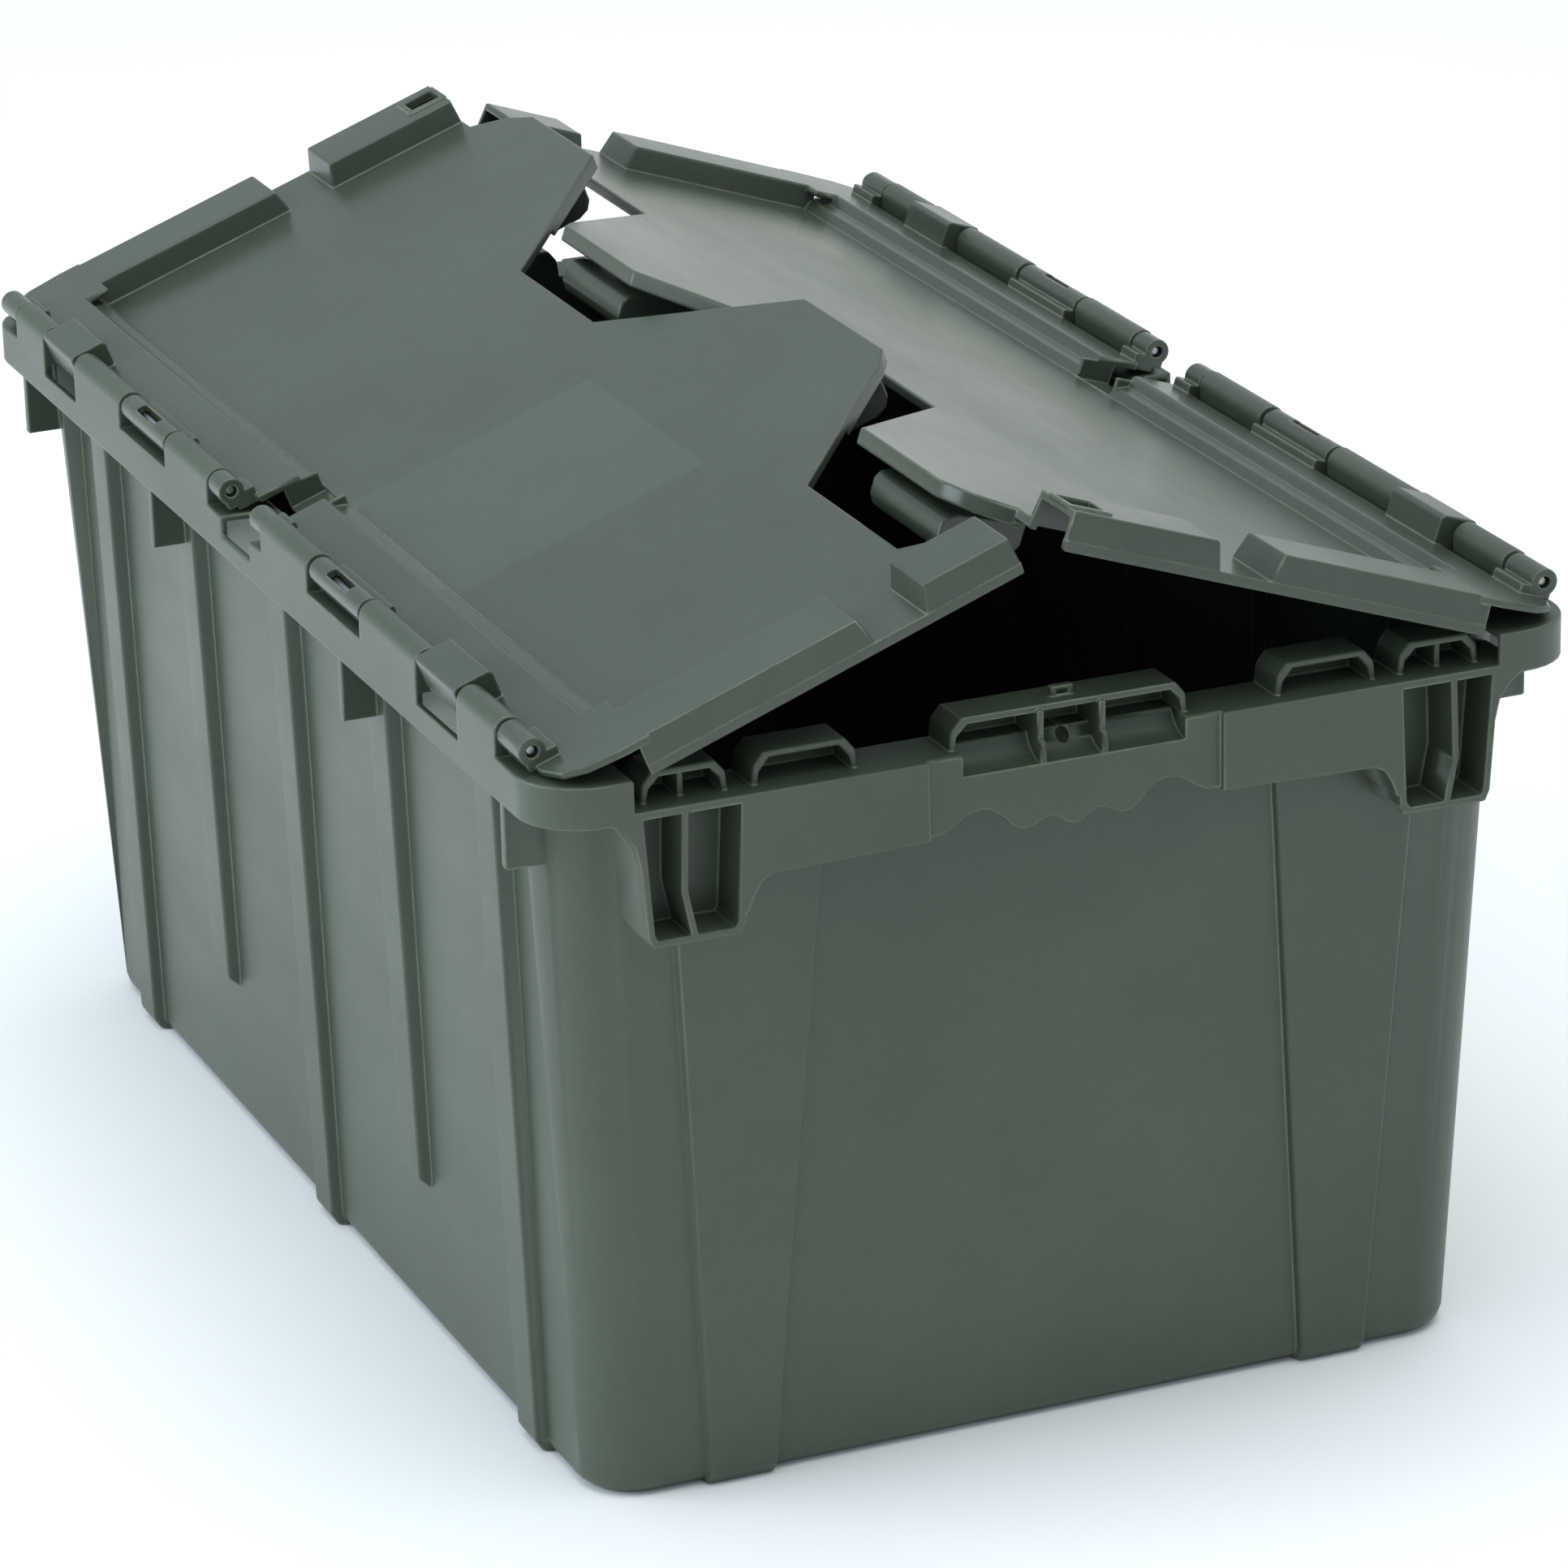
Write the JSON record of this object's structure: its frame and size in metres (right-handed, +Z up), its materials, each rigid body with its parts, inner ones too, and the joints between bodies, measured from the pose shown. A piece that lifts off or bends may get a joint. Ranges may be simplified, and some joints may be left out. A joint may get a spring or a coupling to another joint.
{
  "type": "attached lid tote",
  "caption": "Nestable moulded tote with ribbed leaning walls, finger-grip ends, stacking posts and hinged interlocking lid halves.",
  "frame": {"origin": "middle of the underside, on the floor", "axes": "+X along the long side, +Y across the tote from the front lid half's hinge to the back one, +Z up"},
  "size_m": [0.688, 0.4304, 0.3888],
  "materials": {
    "body_plastic": "moulded polyethylene, satin, fine moulded grain",
    "lid_plastic": "moulded polyethylene, satin, slightly smoother than the body",
    "rod_steel": "plain drawn steel wire rod"
  },
  "bodies": {
    "body": {"tote_body": "body_plastic", "rod_front_left": "rod_steel", "rod_front_right": "rod_steel", "rod_back_left": "rod_steel", "rod_back_right": "rod_steel"},
    "front_lid": {"lid_front": "lid_plastic"},
    "back_lid": {"lid_back": "lid_plastic"}
  },
  "joints": [
    {"name": "front_lid_hinge", "type": "hinge", "parent": "body", "child": "front_lid", "pos_m": [0, -0.209, 0.319], "axis": [1, 0, 0], "range_deg": [-20, 240]},
    {"name": "back_lid_hinge", "type": "hinge", "parent": "body", "child": "back_lid", "pos_m": [0, 0.209, 0.319], "axis": [-1, 0, 0], "range_deg": [-19.2, 240.8]}
  ]
}
